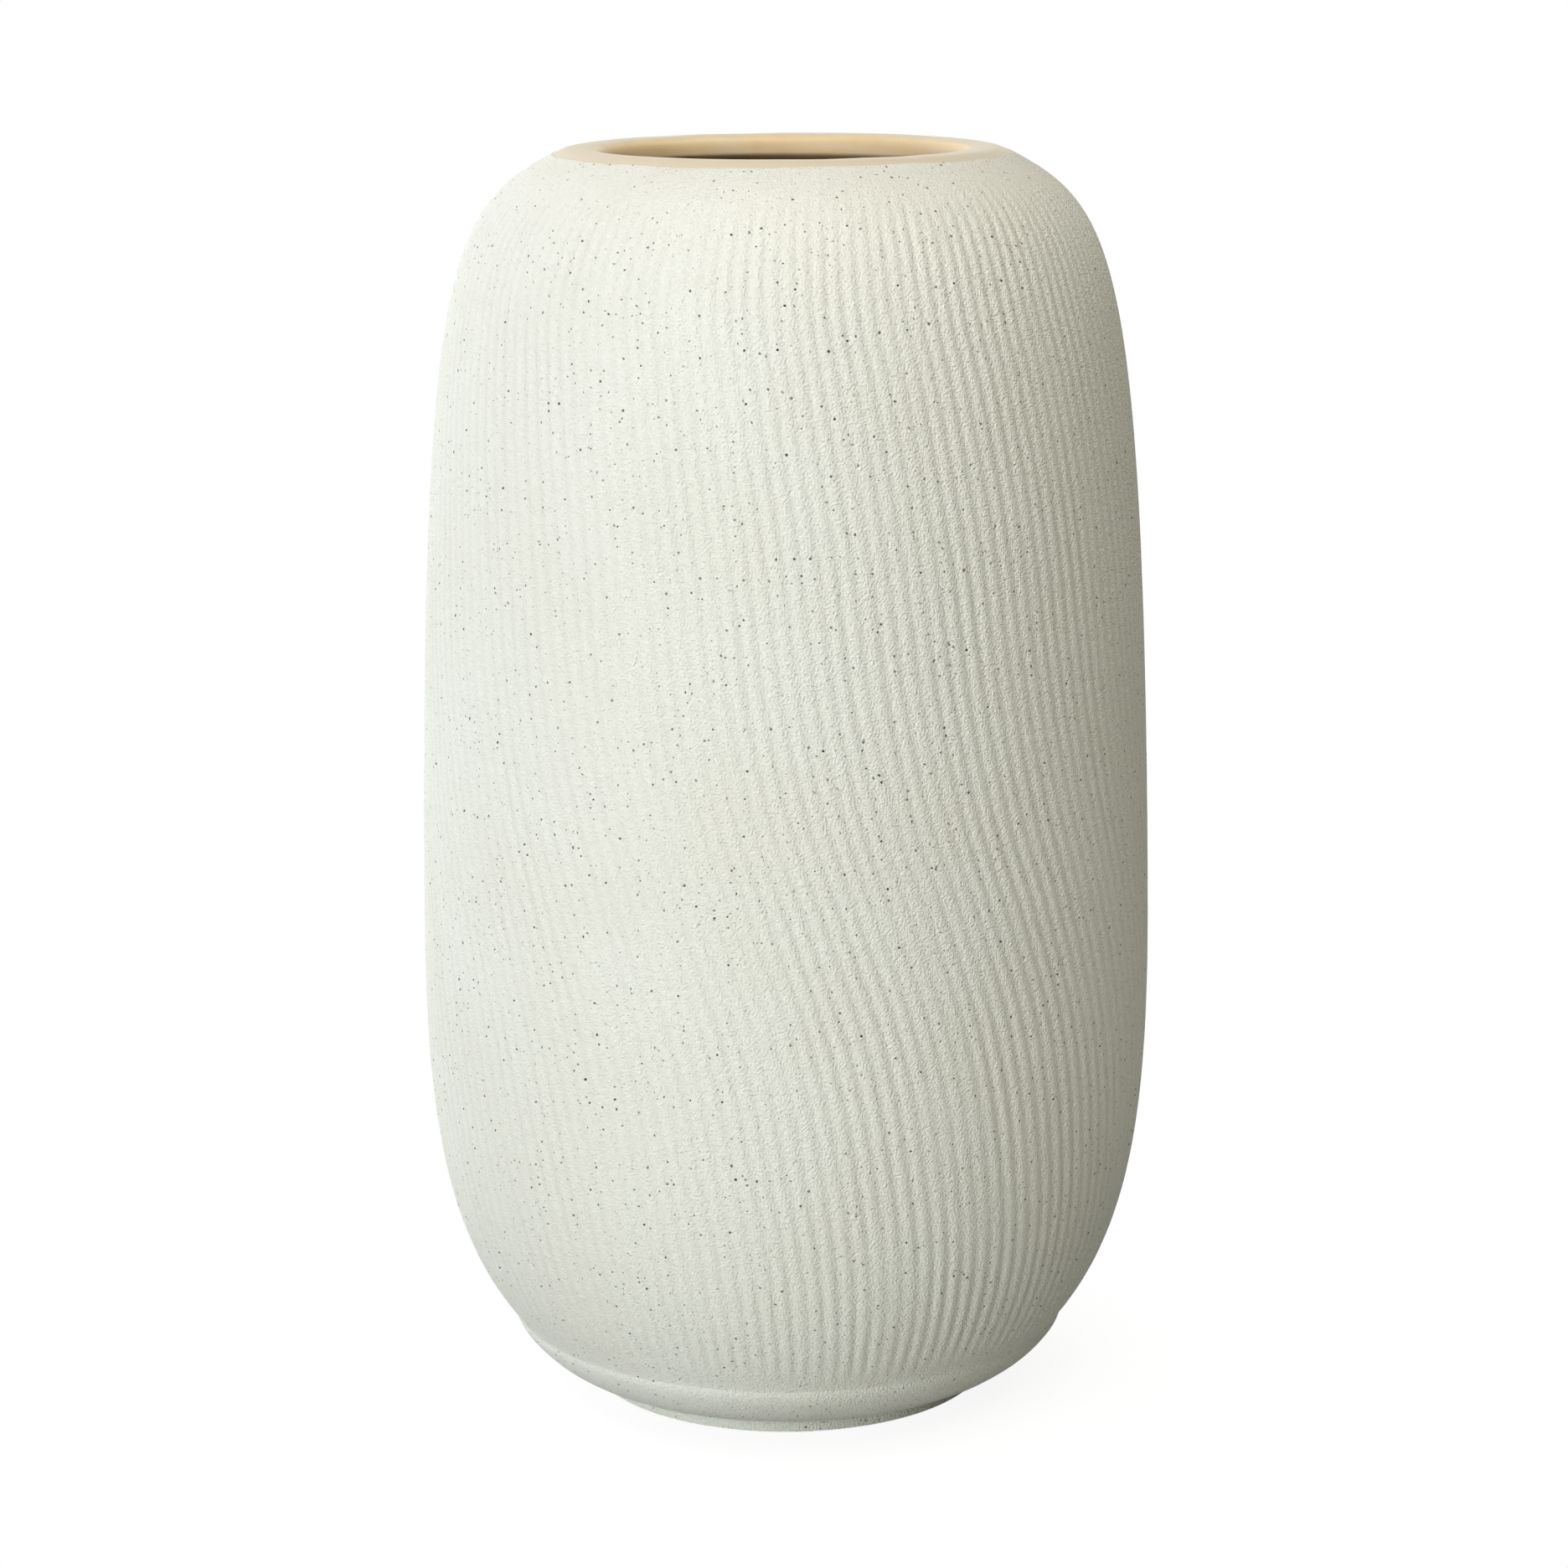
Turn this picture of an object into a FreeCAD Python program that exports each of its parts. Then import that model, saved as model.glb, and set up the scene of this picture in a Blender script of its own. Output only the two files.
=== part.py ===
import FreeCAD, Part
import math
import os

# A free-standing stoneware vase. Millimetres, +Z up, origin at the centre of the standing face.
# Every outline is drawn in the XZ plane, as radius and height, and turned about the Z axis.

# Finished surface, as measured outside the coat and the glaze
crown_height = 250.6          # highest line of the rounded lip above the table
crown_radius = 40.2           # radius of that highest line
mouth_radius = 34.9           # clear opening inside the lip
mouth_drop = 3.7              # narrowest line of the mouth below the crown
border_radius = 44.5          # where the white coat ends and the tan lip begins
border_drop = 1.1             # that border below the crown
border_slope = 27.8           # degrees that the shoulder still climbs at the border
belly_radius = 73.25          # widest line of the vase
belly_height = 90.0           # height of the widest line
groove_radius = 56.25         # bottom of the groove between bead and wall
groove_height = 14.9          # height of the groove
wall_flare = 49.7             # degrees that the wall climbs as it leaves the groove
bead_radius = 56.6            # widest line of the bead round the base
bead_drop = 0.9               # widest line of the bead below the groove
bead_lean = 71.8              # degrees that the bead climbs at its widest line
bead_seat_radius = 45.2       # where the bead's underside turns flat
foot_radius = 40.6            # outside of the coated foot
foot_height = 4.6             # table to the flat underside of the bead

# How full each outline is: the reach of its curve handles
belly_reach_up = 22.0
belly_reach_down = 34.0
flare_reach = 21.8
shoulder_draw = 2.85          # shoulder's pull point inside the belly radius
shoulder_drop = 17.7          # shoulder's pull point below the border
border_reach = 26.2
bead_reach_out = 3.5
bead_reach_up = 3.6
roll_reach = 0.45             # roll of the bead into the groove
crown_reach_out = 2.0
crown_reach_in = 4.6
mouth_reach_up = 3.3
mouth_reach_down = 1.2
underlip_reach = 2.8

# Layers, measured square to the surface
coat_thickness = 1.0          # sand-grit slip on the wall, flutes included
foot_coat_thickness = 0.6     # the same slip, thinner and smooth, on bead and foot
clay_thickness = 5.1          # fired clay of the wall
glaze_thickness = 0.5         # tan glaze on the lip and inside

# Base and foot ring
floor_thickness = 7.0         # clay between the flat underside and the floor inside
cove_radius = 40.0            # where the flat floor starts to curve up into the wall
cove_reach_in = 7.0
cove_reach_up = 5.0
foot_ring_width = 8.5         # clay foot ring, from outside to inside
foot_edge_radius = 0.4        # rounded edges where the ring meets the table
foot_wipe = 0.4               # bare clay left above the table when the slip is wiped off

# Points taken along a curve to draw its parallel
parallel_points = 21

inner_depth = coat_thickness + clay_thickness
liner_depth = inner_depth + glaze_thickness
clay_underside = foot_height + foot_coat_thickness
clay_foot_radius = foot_radius - foot_coat_thickness
clay_floor_height = clay_underside + floor_thickness
floor_height = clay_floor_height + glaze_thickness
border_height = crown_height - border_drop


def point(radius, height):
    """A point of an outline."""
    return FreeCAD.Vector(radius, 0, height)


def heading(degrees):
    """A unit direction in the outline's plane, measured up from the outward direction."""
    angle = math.radians(degrees)
    return point(math.cos(angle), math.sin(angle))


def bend(*poles):
    """A smooth curve that leaves and meets its end poles along its handles."""
    curve = Part.BezierCurve()
    curve.setPoles(list(poles))
    return curve


def line(start, end):
    """A straight stretch."""
    return Part.LineSegment(start, end)


def inward(curve, parameter):
    """The unit direction from the surface into the pot's wall, square to the curve."""
    along = curve.tangent(parameter)[0]
    return point(-along.z, along.x)


def parallel(curve, depth):
    """The curve that runs at one depth under another curve."""
    first, last = curve.FirstParameter, curve.LastParameter
    step = (last - first) / (parallel_points - 1)
    spots = [first + step * index for index in range(parallel_points)]
    points = [curve.value(spot) + inward(curve, spot) * depth for spot in spots]
    result = Part.BSplineCurve()
    result.interpolate(Points=points)
    return result


def start_of(curve):
    """First point of a curve."""
    return curve.value(curve.FirstParameter)


def end_of(curve):
    """Last point of a curve."""
    return curve.value(curve.LastParameter)


def turned(curves):
    """The solid that a closed outline makes when it is turned about the Z axis."""
    wire = Part.Wire([curve.toShape() for curve in curves])
    shape = Part.Face(wire).revolve(FreeCAD.Vector(0, 0, 0), FreeCAD.Vector(0, 0, 1), 360)
    solid = shape.Solids[0]
    if solid.Volume < 0:
        solid.reverse()
    return solid


# Finished outline, up the outside, over the lip and down the inside
groove = point(groove_radius, groove_height)
belly = point(belly_radius, belly_height)
border = point(border_radius, border_height)
crown = point(crown_radius, crown_height)
mouth = point(mouth_radius, crown_height - mouth_drop)
bead_top = point(bead_radius, groove_height - bead_drop)
bead_seat = point(bead_seat_radius, foot_height)

bead_side = bend(
    bead_seat,
    bead_seat + point(bead_reach_out, 0),
    bead_top - heading(bead_lean) * bead_reach_up,
    bead_top,
)
bead_roll = bend(
    bead_top,
    bead_top + heading(bead_lean) * roll_reach,
    groove + point(roll_reach, 0),
    groove,
)
lower_wall = bend(
    groove,
    groove + heading(wall_flare) * flare_reach,
    belly - point(0, belly_reach_down),
    belly,
)
upper_wall = bend(
    belly,
    belly + point(0, belly_reach_up),
    point(belly_radius - shoulder_draw, border_height - shoulder_drop),
    border + heading(-border_slope) * border_reach,
    border,
)
lip_outside = bend(
    border,
    border + heading(180 - border_slope) * crown_reach_out,
    crown + point(crown_reach_out, 0),
    crown,
)
lip_inside = bend(
    crown,
    crown - point(crown_reach_in, 0),
    mouth + point(0, mouth_reach_up),
    mouth,
)
liner_wall = parallel(upper_wall, liner_depth)
under_lip = bend(
    mouth,
    mouth - point(0, mouth_reach_down),
    end_of(liner_wall) + heading(180 - border_slope) * underlip_reach,
    end_of(liner_wall),
)
liner_bowl = parallel(lower_wall, liner_depth)
floor_edge = point(cove_radius, floor_height)
cove = bend(
    start_of(liner_bowl),
    start_of(liner_bowl) - heading(wall_flare) * cove_reach_up,
    floor_edge + point(cove_reach_in, 0),
    floor_edge,
)

# The same outline under the coat and the glaze, which is the surface of the clay
clay_bowl = parallel(lower_wall, coat_thickness)
clay_shoulder = parallel(upper_wall, coat_thickness)
clay_lip_outside = parallel(lip_outside, glaze_thickness)
clay_lip_inside = parallel(lip_inside, glaze_thickness)
clay_under_lip = parallel(under_lip, glaze_thickness)
clay_inner_wall = parallel(upper_wall, inner_depth)
clay_inner_bowl = parallel(lower_wall, inner_depth)
clay_cove = parallel(cove, glaze_thickness)
clay_bead_side = parallel(bead_side, foot_coat_thickness)
clay_floor_edge = end_of(clay_cove)
foot_inside = clay_foot_radius - foot_ring_width


def stoneware_wall():
    """The thrown clay wall, from its joint with the base to the lip."""
    return turned([
        clay_bowl,
        clay_shoulder,
        line(end_of(clay_shoulder), start_of(clay_lip_outside)),
        clay_lip_outside,
        clay_lip_inside,
        clay_under_lip,
        clay_inner_wall,
        clay_inner_bowl,
        line(start_of(clay_inner_bowl), start_of(clay_bowl)),
    ])


def stoneware_base():
    """The clay floor and the bead round it, which carry the wall."""
    axis_top = point(0, clay_floor_edge.z)
    axis_bottom = point(0, clay_underside)
    bead_end = end_of(clay_bead_side)
    return turned([
        line(axis_bottom, start_of(clay_bead_side)),
        clay_bead_side,
        line(bead_end, start_of(clay_bowl)),
        line(start_of(clay_bowl), start_of(clay_inner_bowl)),
        clay_cove,
        line(clay_floor_edge, axis_top),
        line(axis_top, axis_bottom),
    ])


def foot_ring():
    """The clay ring that the vase stands on, with its lower edges rounded."""
    blank = Part.makeCylinder(clay_foot_radius, clay_underside)
    ring = blank.cut(Part.makeCylinder(foot_inside, clay_underside))
    low_edges = [edge for edge in ring.Edges if edge.BoundBox.ZMax < foot_edge_radius / 2]
    return ring.makeFillet(foot_edge_radius, low_edges)


def fluted_coat():
    """The gritty white slip over the wall, up to the border of the lip."""
    return turned([
        lower_wall,
        upper_wall,
        line(border, end_of(clay_shoulder)),
        clay_shoulder,
        clay_bowl,
        line(start_of(clay_bowl), groove),
    ])


def foot_coat():
    """The same slip, smooth, over the bead, the bead's underside and the side of the foot."""
    bead_end = end_of(clay_bead_side)
    coat_corner = point(foot_radius, foot_height)
    clay_corner = point(clay_foot_radius, clay_underside)
    return turned([
        line(point(clay_foot_radius, foot_wipe), point(foot_radius, foot_wipe)),
        line(point(foot_radius, foot_wipe), coat_corner),
        line(coat_corner, bead_seat),
        bead_side,
        bead_roll,
        line(groove, start_of(clay_bowl)),
        line(start_of(clay_bowl), bead_end),
        clay_bead_side,
        line(start_of(clay_bead_side), clay_corner),
        line(clay_corner, point(clay_foot_radius, foot_wipe)),
    ])


def rim_glaze():
    """The tan glaze over the lip, from the coat's border into the mouth."""
    return turned([
        lip_outside,
        lip_inside,
        under_lip,
        line(end_of(under_lip), end_of(clay_under_lip)),
        clay_under_lip,
        clay_lip_inside,
        clay_lip_outside,
        line(start_of(clay_lip_outside), border),
    ])


def liner_glaze():
    """The glaze that waterproofs the inside, over the wall and the floor."""
    axis_top = point(0, floor_height)
    axis_bottom = point(0, clay_floor_edge.z)
    return turned([
        line(end_of(clay_inner_wall), end_of(liner_wall)),
        liner_wall,
        liner_bowl,
        cove,
        line(floor_edge, axis_top),
        line(axis_top, axis_bottom),
        line(axis_bottom, clay_floor_edge),
        clay_cove,
        clay_inner_bowl,
        clay_inner_wall,
    ])


makers = [
    stoneware_wall,
    stoneware_base,
    foot_ring,
    fluted_coat,
    foot_coat,
    rim_glaze,
    liner_glaze,
]

os.makedirs("parts", exist_ok=True)
for maker in makers:
    shape = maker()
    shape.exportStep("parts/" + maker.__name__ + ".step")
    print(maker.__name__, "valid", shape.isValid(), "volume", round(shape.Volume, 1))
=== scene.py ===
import logging
import math
from dataclasses import dataclass
from enum import Enum

import bmesh
import bpy
import numpy as np
from mathutils import Matrix, Vector


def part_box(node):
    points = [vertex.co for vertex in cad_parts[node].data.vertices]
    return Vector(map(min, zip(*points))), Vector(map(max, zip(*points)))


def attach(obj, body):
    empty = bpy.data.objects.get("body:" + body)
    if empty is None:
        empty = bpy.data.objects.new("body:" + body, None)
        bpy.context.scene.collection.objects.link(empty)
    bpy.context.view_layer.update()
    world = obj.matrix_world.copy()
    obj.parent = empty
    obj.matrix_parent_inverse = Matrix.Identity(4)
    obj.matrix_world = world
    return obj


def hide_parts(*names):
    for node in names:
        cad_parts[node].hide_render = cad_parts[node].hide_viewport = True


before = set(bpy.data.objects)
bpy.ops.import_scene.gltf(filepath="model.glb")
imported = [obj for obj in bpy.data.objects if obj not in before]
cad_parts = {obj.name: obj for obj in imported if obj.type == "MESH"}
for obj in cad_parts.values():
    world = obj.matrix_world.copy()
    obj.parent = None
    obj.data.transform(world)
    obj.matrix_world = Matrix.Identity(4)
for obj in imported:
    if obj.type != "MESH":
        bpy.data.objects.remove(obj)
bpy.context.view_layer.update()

LOG = logging.getLogger("vase")

# A stoneware vase in a white combed slip with a tan lip. Metres, +Z up, the camera's side is -Y.

MM = 0.001
BODY = "root"


class Slot(Enum):
    """The record's material slots."""

    CLAY = "fired_clay"
    SLIP = "white_slip"
    GLAZE = "tan_glaze"


# Small tools for outlines


def spot(radius: float, height: float) -> np.ndarray:
    """A point of an outline, as radius and height."""
    return np.array((radius, height))


def heading(degrees: float) -> np.ndarray:
    """A unit direction in the outline's plane, measured up from the outward direction."""
    angle = math.radians(degrees)
    return spot(math.cos(angle), math.sin(angle))


def bend(*poles: np.ndarray, points: int = 400) -> np.ndarray:
    """Points along the smooth curve that leaves and meets its end poles along its handles.

    Args:
        poles: The curve's poles, ends included.
        points: How many points to take along it.

    Returns:
        An array of points, one row each.
    """
    share = np.linspace(0.0, 1.0, points)[:, None]
    degree = len(poles) - 1
    return sum(
        math.comb(degree, index) * (1 - share) ** (degree - index) * share**index * pole
        for index, pole in enumerate(poles)
    )


def chain(*stretches: np.ndarray) -> np.ndarray:
    """Joins stretches of an outline end to end, without repeating the points that they share."""
    return np.vstack([stretches[0], *(stretch[1:] for stretch in stretches[1:])])


def eased(values: np.ndarray, start: float, end: float) -> np.ndarray:
    """A smooth step from 0 at start to 1 at end."""
    share = np.clip((values - start) / (end - start), 0.0, 1.0)
    return share * share * (3 - 2 * share)


class Outline:
    """A path in the plane of radius and height, walked by its length."""

    def __init__(self, points: np.ndarray) -> None:
        """Keeps the points and their distance along the path.

        Args:
            points: The path's points, one row of radius and height each.
        """
        self.points = points
        steps = np.linalg.norm(np.diff(points, axis=0), axis=1)
        self.walked = np.concatenate(([0.0], np.cumsum(steps)))

    @property
    def length(self) -> float:
        """Length of the path."""
        return float(self.walked[-1])

    def at(self, distance: np.ndarray) -> np.ndarray:
        """Finds points of the path.

        Args:
            distance: Distances from the path's start.

        Returns:
            The points, with radius and height last.
        """
        radius = np.interp(distance, self.walked, self.points[:, 0])
        height = np.interp(distance, self.walked, self.points[:, 1])
        return np.stack((radius, height), axis=-1)

    def inward(self, distance: np.ndarray) -> np.ndarray:
        """Finds the directions into the wall, square to the path.

        Args:
            distance: Distances from the path's start.

        Returns:
            Unit directions, with their radius and height parts last.
        """
        reach = 0.2 * MM
        ahead = self.at(np.minimum(distance + reach, self.length))
        behind = self.at(np.maximum(distance - reach, 0.0))
        along = ahead - behind
        along /= np.linalg.norm(along, axis=-1, keepdims=True)
        return np.stack((-along[..., 1], along[..., 0]), axis=-1)

    def under(self, distance: np.ndarray, depth: np.ndarray | float) -> np.ndarray:
        """Points at these distances and this depth under the surface."""
        deep = np.broadcast_to(depth, np.shape(distance))
        return self.at(distance) + self.inward(distance) * deep[..., None]


@dataclass(frozen=True)
class PotSizes:
    """The finished vase's outline, outside the slip and the glaze, in metres."""

    crown_height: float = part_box("rim_glaze")[1].z
    border_radius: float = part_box("rim_glaze")[1].x
    border_height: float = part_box("fluted_coat")[1].z
    belly_radius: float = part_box("fluted_coat")[1].x
    groove_height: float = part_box("fluted_coat")[0].z
    crown_radius: float = 40.2 * MM
    mouth_radius: float = 34.9 * MM
    mouth_drop: float = 3.7 * MM
    border_slope: float = 27.8
    belly_height: float = 90.0 * MM
    groove_radius: float = 56.25 * MM
    wall_flare: float = 49.7
    bead_radius: float = 56.6 * MM
    bead_drop: float = 0.9 * MM
    bead_lean: float = 71.8
    bead_seat_radius: float = 45.2 * MM
    foot_radius: float = 40.6 * MM
    foot_height: float = 4.6 * MM
    foot_wipe: float = 0.4 * MM
    wall: float = 6.6 * MM
    floor_height: float = 12.7 * MM
    cove_radius: float = 40.0 * MM


@dataclass(frozen=True)
class Fullness:
    """How full each outline is: the reach of its curve handles, in metres."""

    belly_reach_up: float = 22.0 * MM
    belly_reach_down: float = 34.0 * MM
    flare_reach: float = 21.8 * MM
    shoulder_draw: float = 2.85 * MM
    shoulder_drop: float = 17.7 * MM
    border_reach: float = 26.2 * MM
    bead_reach_out: float = 3.5 * MM
    bead_reach_up: float = 3.6 * MM
    roll_reach: float = 0.45 * MM
    crown_reach_out: float = 2.0 * MM
    crown_reach_in: float = 4.6 * MM
    mouth_reach_up: float = 3.3 * MM
    mouth_reach_down: float = 1.2 * MM
    underlip_reach: float = 2.8 * MM
    cove_reach_in: float = 7.0 * MM
    cove_reach_up: float = 5.0 * MM
    foot_fillet: float = 0.7 * MM
    # The wet slip rounds the groove this far to each side, over this width
    groove_reach: float = 3.6 * MM
    groove_width: float = 0.75 * MM
    groove_core: float = 0.45


class PotOutlines:
    """The paths that the vase's surfaces follow, each a stretch of the finished outline."""

    def __init__(self, sizes: PotSizes, full: Fullness) -> None:
        """Draws every path.

        Args:
            sizes: The finished vase's sizes.
            full: The reach of the curves' handles.
        """
        self.sizes = sizes
        self.full = full
        groove = spot(sizes.groove_radius, sizes.groove_height)
        belly = spot(sizes.belly_radius, sizes.belly_height)
        border = spot(sizes.border_radius, sizes.border_height)
        crown = spot(sizes.crown_radius, sizes.crown_height)
        mouth = spot(sizes.mouth_radius, sizes.crown_height - sizes.mouth_drop)
        shoulder = spot(
            sizes.belly_radius - full.shoulder_draw, sizes.border_height - full.shoulder_drop
        )
        self.lower_wall = bend(
            groove,
            groove + heading(sizes.wall_flare) * full.flare_reach,
            belly - spot(0, full.belly_reach_down),
            belly,
        )
        self.upper_wall = bend(
            belly,
            belly + spot(0, full.belly_reach_up),
            shoulder,
            border + heading(-sizes.border_slope) * full.border_reach,
            border,
        )
        self.lip_outside = bend(
            border,
            border + heading(180 - sizes.border_slope) * full.crown_reach_out,
            crown + spot(full.crown_reach_out, 0),
            crown,
        )
        self.lip_inside = bend(
            crown,
            crown - spot(full.crown_reach_in, 0),
            mouth + spot(0, full.mouth_reach_up),
            mouth,
        )
        inner_wall = Outline(self.upper_wall)
        inner_bowl = Outline(self.lower_wall)
        self.inner_wall = inner_wall.under(inner_wall.walked, sizes.wall)
        self.inner_bowl = inner_bowl.under(inner_bowl.walked, sizes.wall)
        self.under_lip = bend(
            mouth,
            mouth - spot(0, full.mouth_reach_down),
            self.inner_wall[-1] + heading(180 - sizes.border_slope) * full.underlip_reach,
            self.inner_wall[-1],
        )
        floor_edge = spot(sizes.cove_radius, sizes.floor_height)
        self.cove = bend(
            self.inner_bowl[0],
            self.inner_bowl[0] - heading(sizes.wall_flare) * full.cove_reach_up,
            floor_edge + spot(full.cove_reach_in, 0),
            floor_edge,
        )
        self.bead, self.lower_wall = self._softened(self._bead(groove), self.lower_wall)

    def _softened(self, bead: np.ndarray, wall: np.ndarray) -> tuple[np.ndarray, np.ndarray]:
        """Rounds the groove between the bead and the wall as the wet slip does.

        Args:
            bead: The smooth slip's path, which ends in the groove.
            wall: The wall's path, which starts there.

        Returns:
            Both paths with the groove filled to a soft valley.
        """
        reach, width = self.full.groove_reach, self.full.groove_width
        stations, taps, taps_reach = 145, 41, 2.5 * width
        path = Outline(chain(bead, wall))
        split = Outline(bead).length
        near = np.linspace(split - reach, split + reach, stations)
        kernel_walk = np.linspace(-taps_reach, taps_reach, taps)
        kernel = np.exp(-0.5 * (kernel_walk / width) ** 2)
        kernel /= kernel.sum()
        spread = path.at(near[:, None] + kernel_walk[None, :])
        blurred = (spread * kernel[None, :, None]).sum(axis=1)
        share = 1 - eased(np.abs(near - split), reach * self.full.groove_core, reach)
        soft = path.at(near) + (blurred - path.at(near)) * share[:, None]
        middle = len(soft) // 2
        before = path.points[path.walked < split - reach]
        after = path.points[path.walked > split + reach]
        return np.vstack((before, soft[: middle + 1])), np.vstack((soft[middle:], after))

    def _bead(self, groove: np.ndarray) -> np.ndarray:
        """Draws the smooth slip's path: up the foot, out under the bead, round it, into the groove.

        Args:
            groove: The bottom of the groove, where the path ends.

        Returns:
            The path's points.
        """
        sizes, full = self.sizes, self.full
        top = spot(sizes.bead_radius, sizes.groove_height - sizes.bead_drop)
        seat = spot(sizes.bead_seat_radius, sizes.foot_height)
        lean = heading(sizes.bead_lean)
        fillet, roll_reach = full.foot_fillet, full.roll_reach
        corner = spot(sizes.foot_radius, sizes.foot_height)
        out = spot(full.bead_reach_out, 0)
        side = bend(seat, seat + out, top - lean * full.bead_reach_up, top)
        last = groove + spot(roll_reach, 0)
        roll = bend(top, top + lean * roll_reach, last, groove, points=40)
        foot = np.array((spot(sizes.foot_radius, sizes.foot_wipe), corner - spot(0, fillet)))
        turn = bend(corner - spot(0, fillet), corner, corner + spot(fillet, 0), points=24)
        return chain(foot, turn, np.array((turn[-1], seat)), side, roll)


# Meshes


def face_outward(mesh: bpy.types.Mesh) -> None:
    """Turns a closed mesh's faces round if they point inwards.

    Args:
        mesh: The closed mesh, which is changed in place.
    """
    work = bmesh.new()
    work.from_mesh(mesh)
    if work.calc_volume(signed=True) < 0:
        bmesh.ops.reverse_faces(work, faces=work.faces)
    work.to_mesh(mesh)
    work.free()
    mesh.update()


class Shell:
    """Builds a closed turned skin from rings of points."""

    def __init__(self, name: str, columns: int) -> None:
        """Starts an empty skin.

        Args:
            name: The piece's name.
            columns: How many points each ring has.
        """
        self.name = name
        self.columns = columns
        self.angles = np.arange(columns) * (2 * math.pi / columns)
        self.rings: list[np.ndarray] = []
        self.outer: list[float] = []

    def add(self, points: np.ndarray, outer: float = 1.0) -> None:
        """Adds rings of radius and height.

        Args:
            points: One ring per row, and in it one point per column or one for all.
            outer: 1 where the ring is on the seen side, 0 where it is hidden.
        """
        for ring in points:
            self.rings.append(np.broadcast_to(ring, (self.columns, 2)))
            self.outer.append(outer)

    def build(self, capped: bool = False) -> bpy.types.Object:
        """Makes the object.

        Args:
            capped: Whether the first and the last ring close at the axis, rather than on each other.

        Returns:
            A smooth-shaded object with the angle and the seen side kept as attributes.
        """
        rings = np.array(self.rings)
        count, columns = rings.shape[:2]
        places = np.stack(
            (
                rings[..., 0] * np.sin(self.angles),
                -rings[..., 0] * np.cos(self.angles),
                rings[..., 1],
            ),
            axis=-1,
        ).reshape(-1, 3)
        around = np.tile(self.angles, count)
        outer = np.repeat(self.outer, columns)
        here = np.arange(columns)
        following = (here + 1) % columns
        faces: list[tuple[int, ...]] = []
        for low in range(count - 1 if capped else count):
            high = (low + 1) % count
            quads = np.stack(
                (
                    low * columns + here,
                    low * columns + following,
                    high * columns + following,
                    high * columns + here,
                ),
                axis=-1,
            )
            faces.extend(map(tuple, quads.tolist()))
        if capped:
            places, around, outer, fans = self._poles(places, around, outer, count)
            faces.extend(fans)
        mesh = bpy.data.meshes.new(self.name)
        mesh.from_pydata(places.tolist(), [], faces)
        for name, values in (("around", around), ("outer", outer)):
            mesh.attributes.new(name, "FLOAT", "POINT").data.foreach_set("value", values)
        mesh.polygons.foreach_set("use_smooth", [True] * len(mesh.polygons))
        self._crease(mesh)
        face_outward(mesh)
        built = bpy.data.objects.new(self.name, mesh)
        bpy.context.scene.collection.objects.link(built)
        return built

    def _crease(self, mesh: bpy.types.Mesh) -> None:
        """Marks the edges sharp where the seen side folds over to the hidden one.

        Args:
            mesh: The skin's mesh, which is changed in place.
        """
        flags = np.array(self.outer)
        folds = np.flatnonzero((flags > 0.5) & ((np.roll(flags, -1) < 0.5) | (np.roll(flags, 1) < 0.5)))
        pairs = np.empty(len(mesh.edges) * 2, dtype=np.int64)
        mesh.edges.foreach_get("vertices", pairs)
        rings = pairs.reshape(-1, 2) // self.columns
        sharp = (rings[:, 0] == rings[:, 1]) & np.isin(rings[:, 0], folds)
        mesh.attributes.new("sharp_edge", "BOOLEAN", "EDGE").data.foreach_set("value", sharp)

    def _poles(
        self, places: np.ndarray, around: np.ndarray, outer: np.ndarray, count: int
    ) -> tuple[np.ndarray, np.ndarray, np.ndarray, list[tuple[int, ...]]]:
        """Closes the first and last ring with a point on the axis each.

        Args:
            places: The rings' points.
            around: Each point's angle round the pot.
            outer: Each point's mark of the seen side.
            count: How many rings there are.

        Returns:
            The three lists with both points added, and the faces that close the ends.
        """
        columns = self.columns
        first = len(places)
        poles = [(0.0, 0.0, places[0][2]), (0.0, 0.0, places[-1][2])]
        last_ring = (count - 1) * columns
        fans: list[tuple[int, ...]] = []
        for column in range(columns):
            following = (column + 1) % columns
            fans.append((column, first, following))
            fans.append((last_ring + column, last_ring + following, first + 1))
        return (
            np.vstack((places, poles)),
            np.append(around, (0.0, 0.0)),
            np.append(outer, (1.0, 0.0)),
            fans,
        )


def hand_wobble(angles: np.ndarray, size: float, seed: int, waves: int = 9) -> np.ndarray:
    """An uneven closed line round the pot, as a hand leaves it.

    Args:
        angles: Where round the pot, in radians.
        size: Typical height of the unevenness.
        seed: Fixes the draw.
        waves: How many waves are laid over each other.

    Returns:
        One offset for each angle.
    """
    lightest, most_turns, fall = 0.4, 4, 0.6
    draw = np.random.default_rng(seed)
    total = np.zeros_like(angles)
    for wave in range(1, waves + 1):
        phase = draw.uniform(0, 2 * math.pi)
        weight = draw.uniform(lightest, 1.0) / wave**fall
        total += weight * np.sin(wave * draw.integers(1, most_turns) * angles + phase)
    return total * size / 2


# Node trees


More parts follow.
